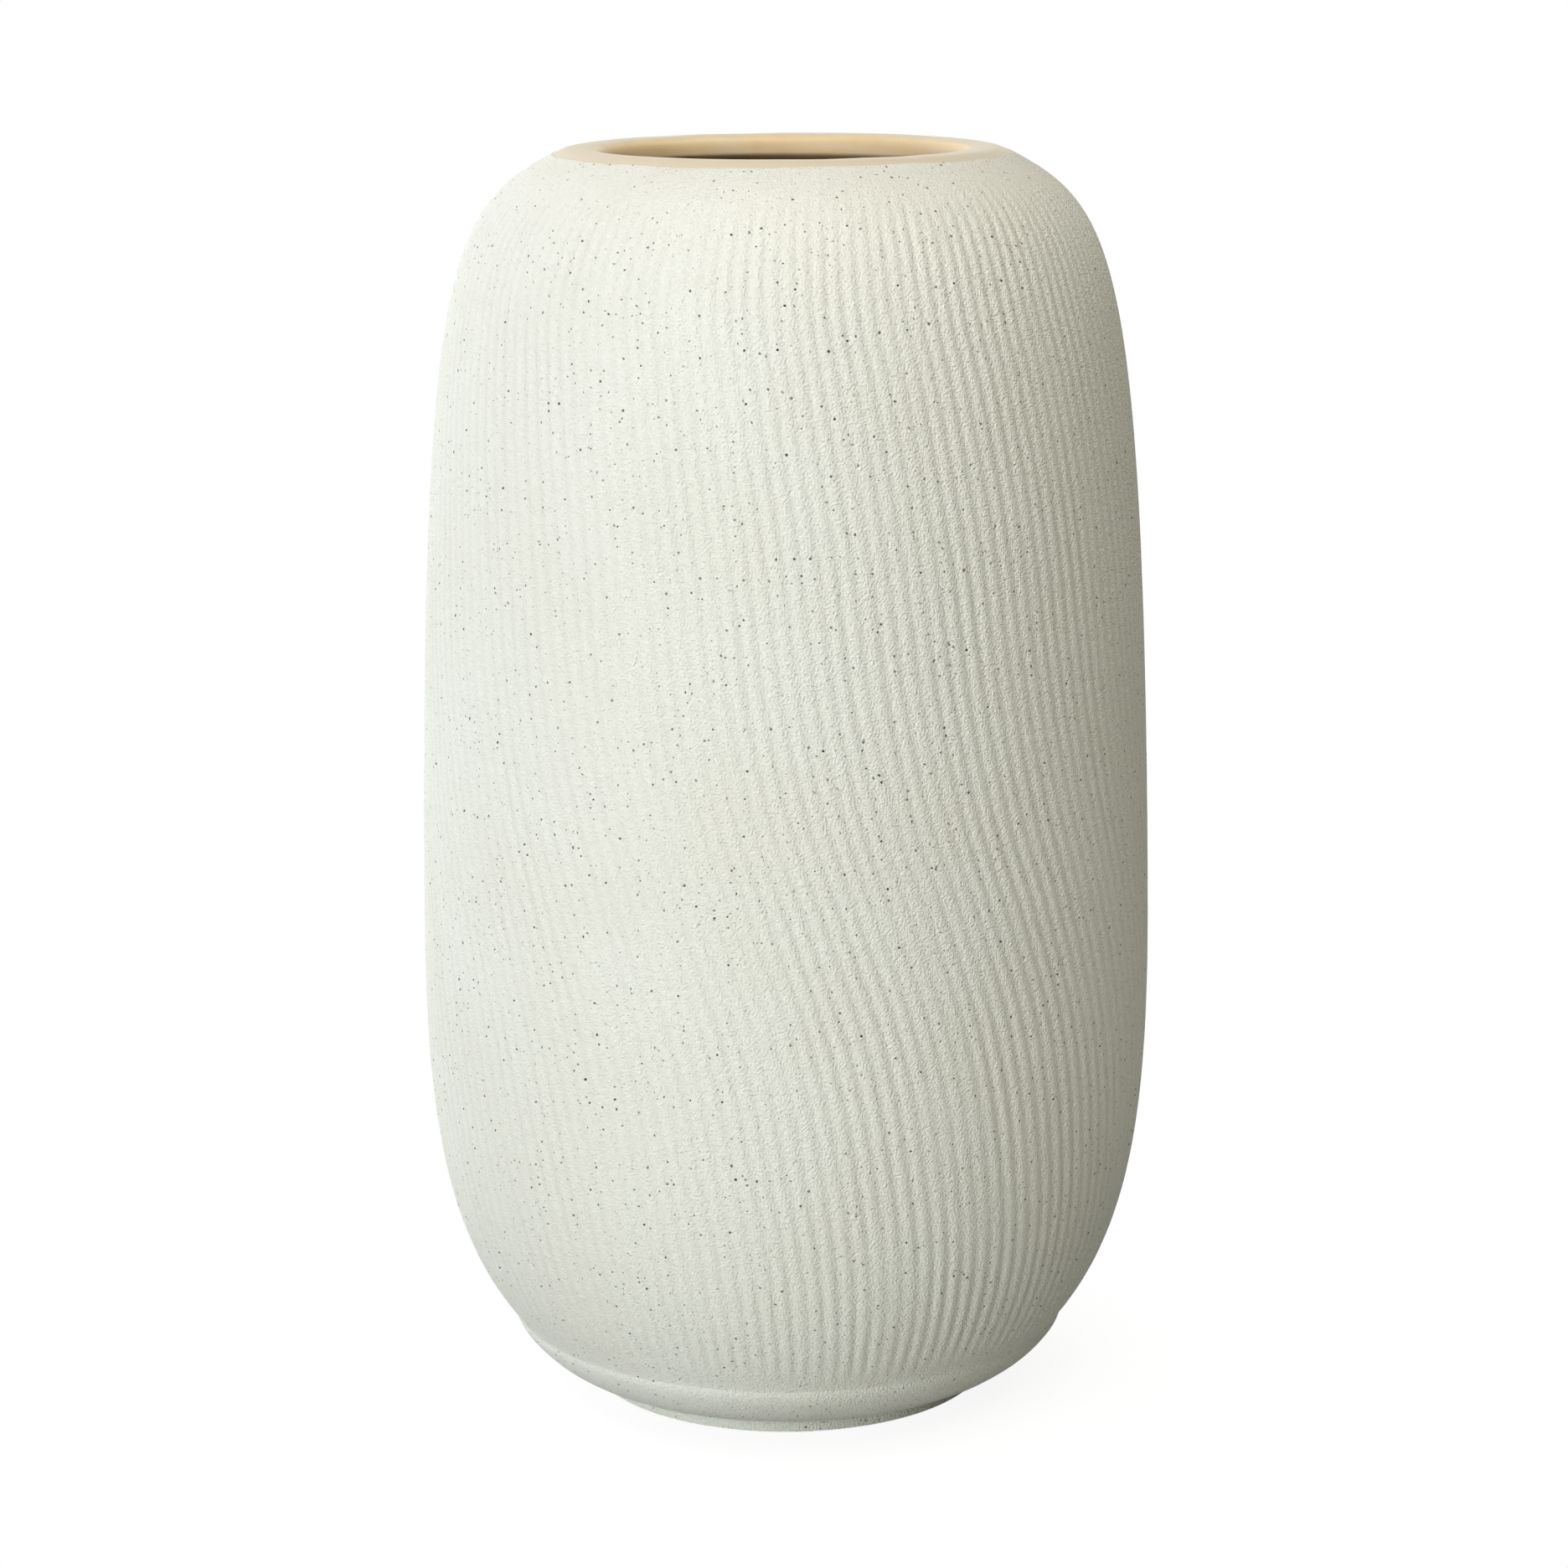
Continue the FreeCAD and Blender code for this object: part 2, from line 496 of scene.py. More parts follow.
class Graph:
    """A node tree under construction."""

    def __init__(self, tree: bpy.types.NodeTree) -> None:
        """Wraps an empty tree."""
        self.tree = tree

    def node(self, kind: str, settings: dict | None = None, **inputs: object) -> bpy.types.Node:
        """Adds a node.

        Args:
            kind: Blender's name of the node type.
            settings: Properties of the node.
            inputs: Values or sockets for its inputs, by name with underscores, or in0, in1 by place.

        Returns:
            The node.
        """
        made = self.tree.nodes.new(kind)
        for name, value in (settings or {}).items():
            setattr(made, name, value)
        for name, value in inputs.items():
            if name[:2] == "in" and name[2:].isdigit():
                socket = made.inputs[int(name[2:])]
            else:
                socket = made.inputs[name.replace("_", " ")]
            self.feed(socket, value)
        return made

    def feed(self, socket: bpy.types.NodeSocket, value: object) -> None:
        """Links an input, or sets its own value.

        Args:
            socket: The input.
            value: What it takes: another node's socket, or a plain value.
        """
        if isinstance(value, bpy.types.NodeSocket):
            self.tree.links.new(value, socket)
        else:
            socket.default_value = value

    def math(self, operation: str, *values: object) -> bpy.types.NodeSocket:
        """The result of one arithmetic step."""
        inputs = {f"in{index}": value for index, value in enumerate(values)}
        return self.node("ShaderNodeMath", {"operation": operation}, **inputs).outputs[0]

    def ramp(self, value: object, low: float, high: float) -> bpy.types.NodeSocket:
        """Adds a smooth step from 0 to 1.

        Args:
            value: What is stepped.
            low: Where the step is still 0.
            high: Where it has reached 1.

        Returns:
            The step's socket.
        """
        inputs = {"Value": value, "From_Min": low, "From_Max": high}
        settings = {"interpolation_type": "SMOOTHSTEP"}
        return self.node("ShaderNodeMapRange", settings, **inputs).outputs[0]

    def noise(self, vector: object, scale: float, detail: float = 2.0) -> bpy.types.NodeSocket:
        """Noise from 0 to 1 at a scale per metre."""
        inputs = {"Vector": vector, "Scale": scale, "Detail": detail}
        return self.node("ShaderNodeTexNoise", None, **inputs).outputs[0]

    def stretched(self, vector: object, across: float, up: float) -> bpy.types.NodeSocket:
        """Scales a vector.

        Args:
            vector: The vector.
            across: Its scale along X and Y.
            up: Its scale along Z.

        Returns:
            The scaled vector's socket.
        """
        scale = (across, across, up)
        settings = {"operation": "MULTIPLY"}
        return self.node("ShaderNodeVectorMath", settings, in0=vector, in1=scale).outputs[0]

    def mix(self, share: object, first: object, second: object) -> bpy.types.NodeSocket:
        """Mixes two colours.

        Args:
            share: How much of the second colour shows, from 0 to 1.
            first: The colour at 0.
            second: The colour at 1.

        Returns:
            The mixed colour's socket.
        """
        made = self.node("ShaderNodeMix", {"data_type": "RGBA"}, in0=share)
        self.feed(made.inputs[6], first)
        self.feed(made.inputs[7], second)
        return made.outputs[2]


@dataclass(frozen=True)
class Combing:
    """How the flutes were combed into the wet slip."""

    count: int = 137
    columns_per_flute: int = 7
    depth: float = 0.34 * MM
    unevenness: float = 0.55
    drift: float = 0.22
    sharpness: float = 1.4
    # Noise scales across and up the wall, per metre
    slow_sway: tuple[float, float] = (70.0, 28.0)
    quick_sway: tuple[float, float] = (150.0, 160.0)
    quick_share: float = 0.35
    patches: tuple[float, float] = (130.0, 30.0)
    patch_range: tuple[float, float] = (0.3, 0.7)
    fade_low: tuple[float, float] = (15.5 * MM, 24.0 * MM)
    fade_high: tuple[float, float] = (236.0 * MM, 248.0 * MM)
    # Height in metres, and how many degrees the comb has drifted round the pot there
    path: tuple[tuple[float, float], ...] = (
        (0.015, 29.0),
        (0.040, 27.8),
        (0.060, 25.6),
        (0.085, 21.9),
        (0.110, 15.8),
        (0.133, 9.9),
        (0.155, 6.3),
        (0.180, 3.9),
        (0.210, 0.2),
        (0.228, -1.8),
        (0.250, 0.0),
    )
    # The drift curve holds values from 0 to 1, which stand for these heights and degrees
    path_height: float = 0.25
    path_low: float = -10.0
    path_high: float = 40.0

    def comb(self, skin: bpy.types.Object, finish: bpy.types.Material) -> bpy.types.Object:
        """Combs a smooth turned skin.

        Args:
            skin: The smooth skin, which is used up.
            finish: The material of the result.

        Returns:
            A plain object with the flutes in its mesh.
        """
        inputs = {
            "Flutes": float(self.count),
            "Depth": self.depth,
            "Unevenness": self.unevenness,
            "Drift": self.drift,
            "Finish": finish,
        }
        return grown(skin, self._tree(), inputs)

    def _tree(self) -> bpy.types.NodeTree:
        """Builds the Geometry Nodes tree that combs.

        Returns:
            The tree, with named inputs for the comb's sizes.
        """
        tree = bpy.data.node_groups.new("combing", "GeometryNodeTree")
        socket = tree.interface.new_socket
        socket("Geometry", in_out="OUTPUT", socket_type="NodeSocketGeometry")
        socket("Geometry", in_out="INPUT", socket_type="NodeSocketGeometry")
        for name in ("Flutes", "Depth", "Unevenness", "Drift"):
            socket(name, in_out="INPUT", socket_type="NodeSocketFloat")
        socket("Finish", in_out="INPUT", socket_type="NodeSocketMaterial")
        graph = Graph(tree)
        given = graph.node("NodeGroupInput").outputs
        place = graph.node("GeometryNodeInputPosition").outputs[0]
        height = graph.node("ShaderNodeSeparateXYZ", None, Vector=place).outputs["Z"]
        groove = self._groove(graph, given, place)
        fade = graph.math(
            "MULTIPLY",
            graph.ramp(height, *self.fade_low),
            graph.math("SUBTRACT", 1.0, graph.ramp(height, *self.fade_high)),
        )
        seen = graph.math("MULTIPLY", fade, self._read(graph, "outer"))
        strength = graph.math("MULTIPLY", seen, groove)
        cut = graph.math("MULTIPLY", strength, graph.math("MULTIPLY", given["Depth"], -1.0))
        normal = graph.node("GeometryNodeInputNormal").outputs[0]
        settings = {"operation": "SCALE"}
        push = graph.node("ShaderNodeVectorMath", settings, in0=normal, Scale=cut).outputs[0]
        settings = {"operation": "ADD"}
        carved = graph.node("ShaderNodeVectorMath", settings, in0=place, in1=push).outputs[0]
        turned = graph.node(
            "ShaderNodeVectorRotate",
            {"rotation_type": "Z_AXIS"},
            Vector=carved,
            Angle=self._drifted(graph, height),
        ).outputs[0]
        # Keeps how deep in a flute each point lies; the slip reads it to paint shade into the grooves
        marked = graph.node(
            "GeometryNodeStoreNamedAttribute",
            {"data_type": "FLOAT", "domain": "POINT"},
            Geometry=given["Geometry"],
            Name="groove",
            Value=strength,
        ).outputs[0]
        moved = graph.node("GeometryNodeSetPosition", None, Geometry=marked, Position=turned)
        real = graph.node("GeometryNodeRealizeInstances", None, Geometry=moved.outputs[0])
        finish = {"Geometry": real.outputs[0], "Material": given["Finish"]}
        dressed = graph.node("GeometryNodeSetMaterial", None, **finish)
        graph.node("NodeGroupOutput", None, Geometry=dressed.outputs[0])
        return tree

    def _read(self, graph: Graph, name: str) -> bpy.types.NodeSocket:
        """A number that the skin's mesh carries under this name."""
        settings = {"data_type": "FLOAT"}
        return graph.node("GeometryNodeInputNamedAttribute", settings, Name=name).outputs[0]

    def _groove(self, graph: Graph, given: object, place: object) -> bpy.types.NodeSocket:
        """Works out how deep in a flute a point lies.

        Args:
            graph: The tree.
            given: The tree's inputs, by name.
            place: The skin's points.

        Returns:
            A number from 0 on a crest to 1 in a full groove.
        """
        slow = graph.noise(graph.stretched(place, *self.slow_sway), 1.0)
        quick = graph.noise(graph.stretched(place, *self.quick_sway), 1.0)
        sway = graph.math("ADD", slow, graph.math("MULTIPLY", quick, self.quick_share))
        middle = 0.5 + 0.5 * self.quick_share
        sway = graph.math("MULTIPLY", graph.math("SUBTRACT", sway, middle), given["Drift"])
        turns = graph.math("MULTIPLY", self._read(graph, "around"), given["Flutes"])
        phase = graph.math("ADD", turns, graph.math("MULTIPLY", sway, 2 * math.pi))
        wave = graph.math("SUBTRACT", 0.5, graph.math("MULTIPLY", graph.math("COSINE", phase), 0.5))
        wave = graph.math("POWER", wave, self.sharpness)
        patchy = graph.noise(graph.stretched(place, *self.patches), 1.0)
        loss = graph.math("MULTIPLY", graph.ramp(patchy, *self.patch_range), given["Unevenness"])
        return graph.math("MULTIPLY", wave, graph.math("SUBTRACT", 1.0, loss))

    def _drifted(self, graph: Graph, height: object) -> bpy.types.NodeSocket:
        """Works out how far round the pot the comb had drifted at a height.

        Args:
            graph: The tree.
            height: The height, in metres.

        Returns:
            The angle, in radians.
        """
        share = graph.math("DIVIDE", height, self.path_height)
        curve = graph.node("ShaderNodeFloatCurve", None, Value=share)
        line = curve.mapping.curves[0]
        span = self.path_high - self.path_low
        for index, (level, degrees) in enumerate(self.path):
            place = (level / self.path_height, (degrees - self.path_low) / span)
            if index < 2:
                line.points[index].location = place
            else:
                line.points.new(*place)
        curve.mapping.update()
        scaled = graph.math("MULTIPLY", curve.outputs[0], math.radians(span))
        return graph.math("ADD", scaled, math.radians(self.path_low))


def grown(
    skin: bpy.types.Object, tree: bpy.types.NodeTree, values: dict[str, object]
) -> bpy.types.Object:
    """Runs a Geometry Nodes tree on an object and keeps the result as a plain mesh.

    Args:
        skin: The object to start from, which is removed.
        tree: The tree.
        values: The tree's inputs by name.

    Returns:
        A new object under the old name, with no modifier.
    """
    name = skin.name
    modifier = skin.modifiers.new(tree.name, "NODES")
    modifier.node_group = tree
    for item in tree.interface.items_tree:
        if item.in_out == "INPUT" and item.name in values:
            modifier[item.identifier] = values[item.name]
    graph = bpy.context.evaluated_depsgraph_get()
    mesh = bpy.data.meshes.new_from_object(skin.evaluated_get(graph))
    skin.modifiers.clear()
    bpy.data.objects.remove(skin)
    mesh.name = name
    made = bpy.data.objects.new(name, mesh)
    bpy.context.scene.collection.objects.link(made)
    return made


# Finishes


def new_material(name: str) -> tuple[bpy.types.Material, Graph, bpy.types.Node]:
    """Starts a material.

    Args:
        name: The finish's name.

    Returns:
        The material, its graph and its shader.
    """
    material = bpy.data.materials.new(name)
    material.use_nodes = True
    graph = Graph(material.node_tree)
    shader = material.node_tree.nodes["Principled BSDF"]
    return material, graph, shader


@dataclass(frozen=True)
class Specks:
    """One kind of iron speck: how far apart, how large, how many show, and their colour."""

    spacing: float
    radius: float
    share: float
    colour: tuple[float, float, float, float]
    shift: float
    # Ragged outlines, crowding, and the spread of size and of strength
    ragged_scale: float = 2600.0
    ragged_reach: float = 1.3
    crowd_scale: float = 55.0
    smallest: float = 0.4
    faintest: float = 0.6
    edge: tuple[float, float] = (0.55, 1.05)

    def over(self, graph: Graph, place: object, ground: object) -> bpy.types.NodeSocket:
        """Lays the specks over a ground colour.

        Args:
            graph: The material's graph.
            place: Object coordinates.
            ground: The colour beneath.

        Returns:
            The colour with the specks.
        """
        moved = graph.node(
            "ShaderNodeVectorMath", {"operation": "ADD"}, in0=place, in1=(self.shift,) * 3
        ).outputs[0]
        ragged = graph.node(
            "ShaderNodeTexNoise", None, Vector=moved, Scale=self.ragged_scale, Detail=1.0
        )
        reach = self.radius * self.ragged_reach
        settings = {"operation": "MULTIPLY_ADD"}
        bent = graph.node(
            "ShaderNodeVectorMath", settings, in0=ragged.outputs[1], in1=(reach,) * 3, in2=moved
        ).outputs[0]
        cells = graph.node("ShaderNodeTexVoronoi", None, Vector=bent, Scale=1 / self.spacing)
        dice = graph.node("ShaderNodeSeparateColor", None, Color=cells.outputs["Color"]).outputs
        crowd = graph.math("MULTIPLY", graph.noise(place, self.crowd_scale), 2 * self.share)
        size = graph.math("MULTIPLY_ADD", dice["Green"], 1 - self.smallest, self.smallest)
        reached = graph.math("MULTIPLY", size, self.radius / self.spacing)
        near = graph.math("DIVIDE", cells.outputs["Distance"], reached)
        dot = graph.math("SUBTRACT", 1.0, graph.ramp(near, *self.edge))
        shown = graph.math("LESS_THAN", dice["Red"], crowd)
        faint = graph.math("MULTIPLY_ADD", dice["Blue"], 1 - self.faintest, self.faintest)
        mask = graph.math("MULTIPLY", graph.math("MULTIPLY", dot, shown), faint)
        return graph.mix(mask, ground, self.colour)


@dataclass(frozen=True)
class SlipFinish:
    """White sand-grit slip: matte, grainy, mottled and speckled with iron, with painted shade in the
    grain's pits and in the flutes' grooves.
    """

    name: str
    pale: tuple[float, float, float, float] = (0.856, 0.858, 0.806, 1)
    warm: tuple[float, float, float, float] = (0.822, 0.806, 0.735, 1)
    # Painted shade: the darker colour laid into the grain's pits and the flutes' grooves
    painted_shade: tuple[float, float, float, float] = (0.690, 0.690, 0.635, 1)
    grain: float = 0.34 * MM
    grain_scale: float = 2500.0
    coarse_share: float = 0.6
    cloud_scale: float = 32.0
    cloud_range: tuple[float, float] = (0.35, 0.72)
    cloud_share: float = 0.5
    pit_shade_range: tuple[float, float] = (0.50, 0.28)
    pit_shade_share: float = 0.45
    groove_shade_share: float = 0.30
    roughness: float = 0.9
    mirror: float = 0.18
    specks: tuple[Specks, ...] = (
        Specks(1.3 * MM, 0.20 * MM, 0.60, (0.22, 0.22, 0.19, 1), 0.31),
        Specks(1.55 * MM, 0.33 * MM, 0.78, (0.022, 0.026, 0.022, 1), 0.0),
    )

    def material(self) -> bpy.types.Material:
        """Builds the material.

        Returns:
            The finish as a material.
        """
        material, graph, shader = new_material(self.name)
        place = graph.node("ShaderNodeTexCoord").outputs["Object"]
        cloud = graph.ramp(graph.noise(place, self.cloud_scale, 4.0), *self.cloud_range)
        cloud = graph.math("MULTIPLY", cloud, self.cloud_share)
        ground = graph.mix(cloud, self.pale, self.warm)
        grit = graph.noise(place, self.grain_scale, 3.0)
        # Painted shade in the grain's pits, where the bump's height is low
        pit_shade = graph.math("MULTIPLY", graph.ramp(grit, *self.pit_shade_range), self.pit_shade_share)
        ground = graph.mix(pit_shade, ground, self.painted_shade)
        # Painted shade in the flutes' grooves, as deep as the comb cut them
        groove = graph.node("ShaderNodeAttribute", {"attribute_name": "groove"}).outputs["Fac"]
        groove = graph.math("MULTIPLY", groove, self.groove_shade_share)
        ground = graph.mix(groove, ground, self.painted_shade)
        for specks in self.specks:
            ground = specks.over(graph, place, ground)
        graph.feed(shader.inputs["Base Color"], ground)
        shader.inputs["Roughness"].default_value = self.roughness
        shader.inputs["Specular IOR Level"].default_value = self.mirror
        coarse = graph.noise(place, self.grain_scale / 2, 2.0)
        height = graph.math("ADD", grit, graph.math("MULTIPLY", coarse, self.coarse_share))
        bump = graph.node(
            "ShaderNodeBump", None, Height=height, Distance=self.grain, Strength=1.0
        )
        graph.feed(shader.inputs["Normal"], bump.outputs[0])
        return material


@dataclass(frozen=True)
class GlazeFinish:
    """Tan glaze over buff clay: smooth, glossy, pooling darker and breaking paler."""

    name: str
    tan: tuple[float, float, float, float] = (0.860, 0.660, 0.390, 1)
    pale: tuple[float, float, float, float] = (0.860, 0.740, 0.520, 1)
    deep: tuple[float, float, float, float] = (0.640, 0.440, 0.220, 1)
    # Outside the mouth's edge the glaze thins over the lip and the slip greys it
    thin: tuple[float, float, float, float] = (0.640, 0.575, 0.455, 1)
    thin_from: float = 35.6 * MM
    thin_by: float = 37.4 * MM
    thin_share: float = 0.8
    thin_scale: float = 140.0
    thin_sway: float = 3.0 * MM
    break_scale: float = 75.0
    break_range: tuple[float, float] = (0.40, 0.75)
    break_share: float = 0.55
    pool_scale: float = 210.0
    pool_range: tuple[float, float] = (0.55, 0.80)
    pool_share: float = 0.18
    specks: Specks = Specks(2.1 * MM, 0.14 * MM, 0.35, (0.22, 0.14, 0.07, 1), 0.17)
    roughness: float = 0.36
    gloss: float = 0.10
    gloss_roughness: float = 0.08
    mirror: float = 0.14
    ripple_scale: float = 190.0
    ripple_height: float = 0.12 * MM

    def material(self) -> bpy.types.Material:
        """Builds the material.

        Returns:
            The finish as a material.
        """
        material, graph, shader = new_material(self.name)
        place = graph.node("ShaderNodeTexCoord").outputs["Object"]
        broken = graph.ramp(graph.noise(place, self.break_scale, 5.0), *self.break_range)
        broken = graph.math("MULTIPLY", broken, self.break_share)
        ground = graph.mix(broken, self.tan, self.pale)
        pooled = graph.ramp(graph.noise(place, self.pool_scale, 3.0), *self.pool_range)
        pooled = graph.math("MULTIPLY", pooled, self.pool_share)
        ground = graph.mix(pooled, ground, self.deep)
        flat = graph.stretched(place, 1.0, 0.0)
        radius = graph.node("ShaderNodeVectorMath", {"operation": "LENGTH"}, in0=flat)
        ragged = graph.noise(place, self.thin_scale, 3.0)
        sway = graph.math("MULTIPLY_ADD", ragged, self.thin_sway, -self.thin_sway / 2)
        beyond = graph.math("ADD", radius.outputs["Value"], sway)
        worn = graph.ramp(beyond, self.thin_from, self.thin_by)
        ground = graph.mix(graph.math("MULTIPLY", worn, self.thin_share), ground, self.thin)
        ground = self.specks.over(graph, place, ground)
        graph.feed(shader.inputs["Base Color"], ground)
        shader.inputs["Roughness"].default_value = self.roughness
        shader.inputs["Specular IOR Level"].default_value = self.mirror
        shader.inputs["Coat Weight"].default_value = self.gloss
        shader.inputs["Coat Roughness"].default_value = self.gloss_roughness
        ripple = graph.noise(place, self.ripple_scale, 2.0)
        bump = graph.node(
            "ShaderNodeBump", None, Height=ripple, Distance=self.ripple_height, Strength=0.5
        )
        graph.feed(shader.inputs["Normal"], bump.outputs[0])
        return material


@dataclass(frozen=True)
class ClayFinish:
    """Bare buff stoneware: dry, sandy, toasted in patches."""

    name: str
    buff: tuple[float, float, float, float] = (0.560, 0.440, 0.300, 1)
    toasted: tuple[float, float, float, float] = (0.430, 0.290, 0.170, 1)
    toast_scale: float = 45.0
    toast_range: tuple[float, float] = (0.40, 0.70)
    specks: Specks = Specks(2.0 * MM, 0.24 * MM, 0.45, (0.06, 0.045, 0.03, 1), 0.07)
    roughness: float = 0.92
    mirror: float = 0.2
    grit_scale: float = 900.0
    turning_scale: float = 260.0
    turning_sway: float = 1.5
    turning_share: float = 0.35
    grit_height: float = 0.16 * MM

    def material(self) -> bpy.types.Material:
        """Builds the material.

        Returns:
            The finish as a material.
        """
        material, graph, shader = new_material(self.name)
        place = graph.node("ShaderNodeTexCoord").outputs["Object"]
        patch = graph.ramp(graph.noise(place, self.toast_scale, 4.0), *self.toast_range)
        ground = graph.mix(patch, self.buff, self.toasted)
        ground = self.specks.over(graph, place, ground)
        graph.feed(shader.inputs["Base Color"], ground)
        shader.inputs["Roughness"].default_value = self.roughness
        shader.inputs["Specular IOR Level"].default_value = self.mirror
        grit = graph.noise(place, self.grit_scale, 4.0)
        turning = graph.node(
            "ShaderNodeTexWave",
            {"wave_type": "RINGS", "rings_direction": "Z"},
            Vector=place,
            Scale=self.turning_scale,
            Distortion=self.turning_sway,
        ).outputs[1]
        height = graph.math("ADD", grit, graph.math("MULTIPLY", turning, self.turning_share))
        bump = graph.node(
            "ShaderNodeBump", None, Height=height, Distance=self.grit_height, Strength=0.8
        )
        graph.feed(shader.inputs["Normal"], bump.outputs[0])
        return material


# The pot's pieces


@dataclass(frozen=True)
class BorderLine:
    """The uneven line where the white slip ends and the tan lip begins."""

    unevenness: float = 0.55 * MM
    seed: int = 11
    step: float = 0.14 * MM

    def shift(self, angles: np.ndarray) -> np.ndarray:
        """How far past the mean border the slip runs, for each angle."""
        return hand_wobble(angles, self.unevenness, self.seed)


def spaced(length: float, spacing: np.ndarray) -> np.ndarray:
    """Distances along a path whose gaps follow a wish.

    Args:
        length: Length of the path.
        spacing: The gap wanted at evenly placed stations along the path.

    Returns:
        The distances, from 0 to the length.
    """
    walk = np.linspace(0.0, length, 2000)
    gaps = np.interp(walk, np.linspace(0.0, length, len(spacing)), spacing)
    steps = np.concatenate(([0.0], np.cumsum(np.diff(walk) / gaps[1:])))
    return np.interp(np.linspace(0.0, steps[-1], math.ceil(steps[-1]) + 1), steps, walk)


@dataclass
class WallCoat:
    """The combed white slip over the wall, from the groove to the uneven border."""

    outlines: PotOutlines
    border: BorderLine
    finish: bpy.types.Material
    combing: Combing = Combing()
    hidden_depth: float = 0.85 * MM
    hidden_rows: int = 13
    border_reach: float = 9.0 * MM
    rounding: float = 0.30 * MM
    # Gaps between rings, at even stations from the groove up to the border
    ring_gaps: tuple[float, ...] = tuple(
        gap * MM for gap in (1.4, 2.4, 3.6, 4.2, 4.2, 4.2, 4.2, 4.2, 3.6, 2.7, 2.2, 0.9)
    )

    def build(self) -> bpy.types.Object:
        """Builds the coat as one closed skin and combs it.

        Returns:
            The combed slip, a plain object.
        """
        lines = self.outlines
        wall = chain(lines.lower_wall, lines.upper_wall)
        edge = Outline(wall).length
        path = Outline(chain(wall, lines.lip_outside))
        rows = spaced(edge - self.rounding, np.array(self.ring_gaps))
        shell = Shell("combed_slip", self.combing.count * self.combing.columns_per_flute)
        shift = self.border.shift(shell.angles)
        for row in rows:
            moved = row + shift * eased(np.array(row), edge - self.border_reach, edge)
            shell.add(path.under(moved, 0.0)[None])
        for share in (0.5, 1.0):
            drop = self.border.step * share**2
            shell.add(path.under(edge - self.rounding * (1 - share) + shift, drop)[None])
        for row in np.linspace(edge, 0.0, self.hidden_rows):
            moved = row + shift * eased(np.array(row), edge - self.border_reach, edge)
            shell.add(path.under(moved, self.hidden_depth)[None], outer=0.0)
        return self.combing.comb(shell.build(), self.finish)


@dataclass
class FootCoat:
    """The smooth white slip over the bead, its underside and the side of the foot."""

    outlines: PotOutlines
    finish: bpy.types.Material
    columns: int = 420
    depth: float = 0.45 * MM
    gap: float = 0.55 * MM
    wobble: float = 0.16 * MM
    seed: int = 23
    hidden_rows: int = 30
    end_reach: float = 2.5 * MM

    def build(self) -> bpy.types.Object:
        """Builds the coat as one closed skin.

        Returns:
            The smooth slip, a plain object.
        """
        path = Outline(self.outlines.bead)
        rows = spaced(path.length, np.array((self.gap, self.gap)))
        shell = Shell("smooth_slip", self.columns)
        swell = hand_wobble(shell.angles, self.wobble, self.seed) + self.wobble
        for row in rows:
            hold = eased(np.array(row), 0.0, self.end_reach)
            hold = hold * (1 - eased(np.array(row), path.length - self.end_reach, path.length))
            shell.add(path.under(np.full(self.columns, row), swell * hold)[None])
        for row in np.linspace(path.length - self.gap, 0.0, self.hidden_rows):
            shell.add(path.under(np.array(row), self.depth)[None], outer=0.0)
        made = shell.build()
        made.data.materials.append(self.finish)
        return made


@dataclass
class LipGlaze:
    """The tan glaze over the lip, from the uneven border into the mouth."""

    outlines: PotOutlines
    border: BorderLine
    finish: bpy.types.Material
    columns: int = 720
    depth: float = 0.42 * MM
    gap: float = 0.28 * MM
    border_reach: float = 4.0 * MM
    settle: float = 2.2 * MM
    wobble: float = 0.10 * MM
    seed: int = 5
    hidden_rows: int = 24

    def build(self) -> bpy.types.Object:
        """Builds the glaze as one closed skin.

        Returns:
            The lip's glaze, a plain object.
        """
        lines = self.outlines
        lip = chain(lines.lip_outside, lines.lip_inside, lines.under_lip)
        lead = Outline(lines.upper_wall)
        path = Outline(chain(lines.upper_wall, lip))
        start = lead.length
        length = path.length - start
        shell = Shell("lip_glaze", self.columns)
        shift = self.border.shift(shell.angles)
        swell = hand_wobble(shell.angles, self.wobble, self.seed) + self.wobble
        for row in spaced(length, np.array((self.gap, self.gap))):
            moved = start + row + shift * (1 - eased(np.array(row), 0.0, self.border_reach))
            sunk = self.border.step * (1 - eased(np.array(row), 0.0, self.settle))
            ends = eased(np.array(row), 0.0, self.settle)
            ends = ends * (1 - eased(np.array(row), length - self.settle, length))
            shell.add(path.under(moved, sunk + swell * ends)[None])
        for row in np.linspace(length, 0.0, self.hidden_rows):
            moved = start + row + shift * (1 - eased(np.array(row), 0.0, self.border_reach))
            shell.add(path.under(moved, self.depth)[None], outer=0.0)
        made = shell.build()
        made.data.materials.append(self.finish)
        return made


